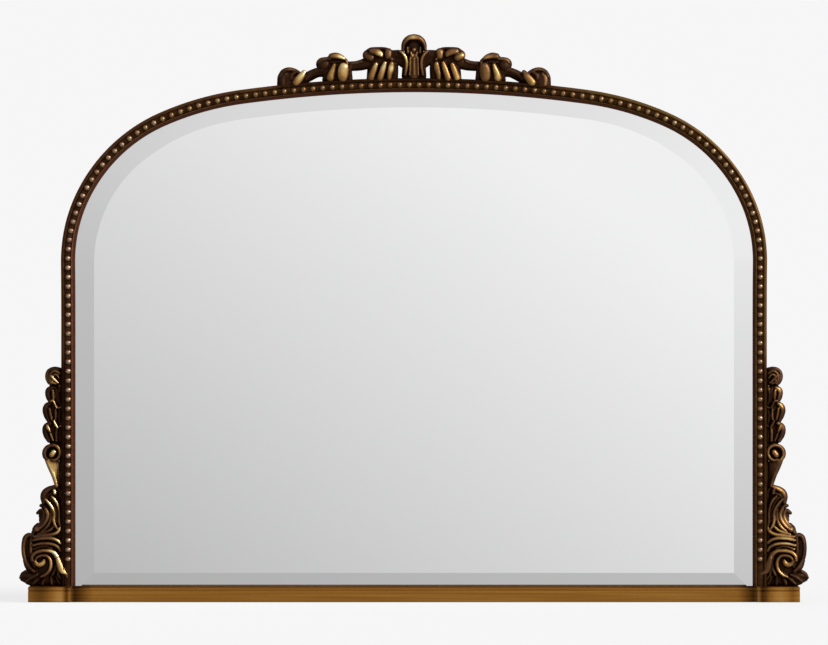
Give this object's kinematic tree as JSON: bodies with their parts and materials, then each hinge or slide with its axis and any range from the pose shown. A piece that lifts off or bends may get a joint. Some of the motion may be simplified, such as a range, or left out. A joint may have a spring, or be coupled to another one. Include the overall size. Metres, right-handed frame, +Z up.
{
  "type": "arched wall mirror",
  "caption": "Arched overmantel wall mirror: bevelled glass in a beaded antique-gold frame with a pierced leaf crest, leaf side brackets, a plinth base and swinging D-ring hangers.",
  "frame": {"origin": "middle of the lower back edge of the base, where the base's back face meets the wall and its underside the shelf", "axes": "+X to the viewer's right, +Y into the wall, +Z up; the mirror faces -Y"},
  "size_m": [1.124, 0.0501, 0.8074],
  "materials": {
    "gilt_wood": "antiqued bronze-gold over dark brown",
    "gilt_bead": "antiqued gold rubbed on dark brown",
    "gilt_base": "satin antique gold",
    "gilt_resin": "antique gold over dark umber",
    "mirror": "polished, bevelled",
    "hardboard": "plain hardboard",
    "cork": "cork",
    "beech": "plain",
    "rubber": "matte",
    "zinc": "zinc plated",
    "ring_steel": "zinc plated wire"
  },
  "bodies": {
    "mirror": {"crown": "gilt_wood", "left_haunch": "gilt_wood", "right_haunch": "gilt_wood", "left_stile": "gilt_wood", "right_stile": "gilt_wood", "left_bead_moulding": "gilt_bead", "right_bead_moulding": "gilt_bead", "base_rail": "gilt_base", "left_plinth_block": "gilt_base", "right_plinth_block": "gilt_base", "mirror_glass": "mirror", "glass_setting_blocks": "rubber", "spacer_pads": "cork", "back_board": "hardboard", "back_clips": "zinc", "back_clip_screws": "zinc", "crest_ornament": "gilt_resin", "crest_pins": "zinc", "left_side_ornament": "gilt_resin", "right_side_ornament": "gilt_resin", "left_ornament_pins": "zinc", "right_ornament_pins": "zinc", "arch_dowels": "beech", "plinth_dowels": "beech", "foot_screws": "zinc", "left_hanger_plate": "zinc", "right_hanger_plate": "zinc", "hanger_screws": "zinc", "wall_bumpers": "rubber"},
    "left_ring": {"left_hanger_ring": "ring_steel"},
    "right_ring": {"right_hanger_ring": "ring_steel"}
  },
  "joints": [
    {"name": "left_ring_swing", "type": "hinge", "parent": "mirror", "child": "left_ring", "pos_m": [-0.4915, -0.00505, 0.47], "axis": [1, 0, 0], "range_deg": [0, 180]},
    {"name": "right_ring_swing", "type": "hinge", "parent": "mirror", "child": "right_ring", "pos_m": [0.4915, -0.00505, 0.47], "axis": [1, 0, 0], "range_deg": [0, 180]}
  ]
}
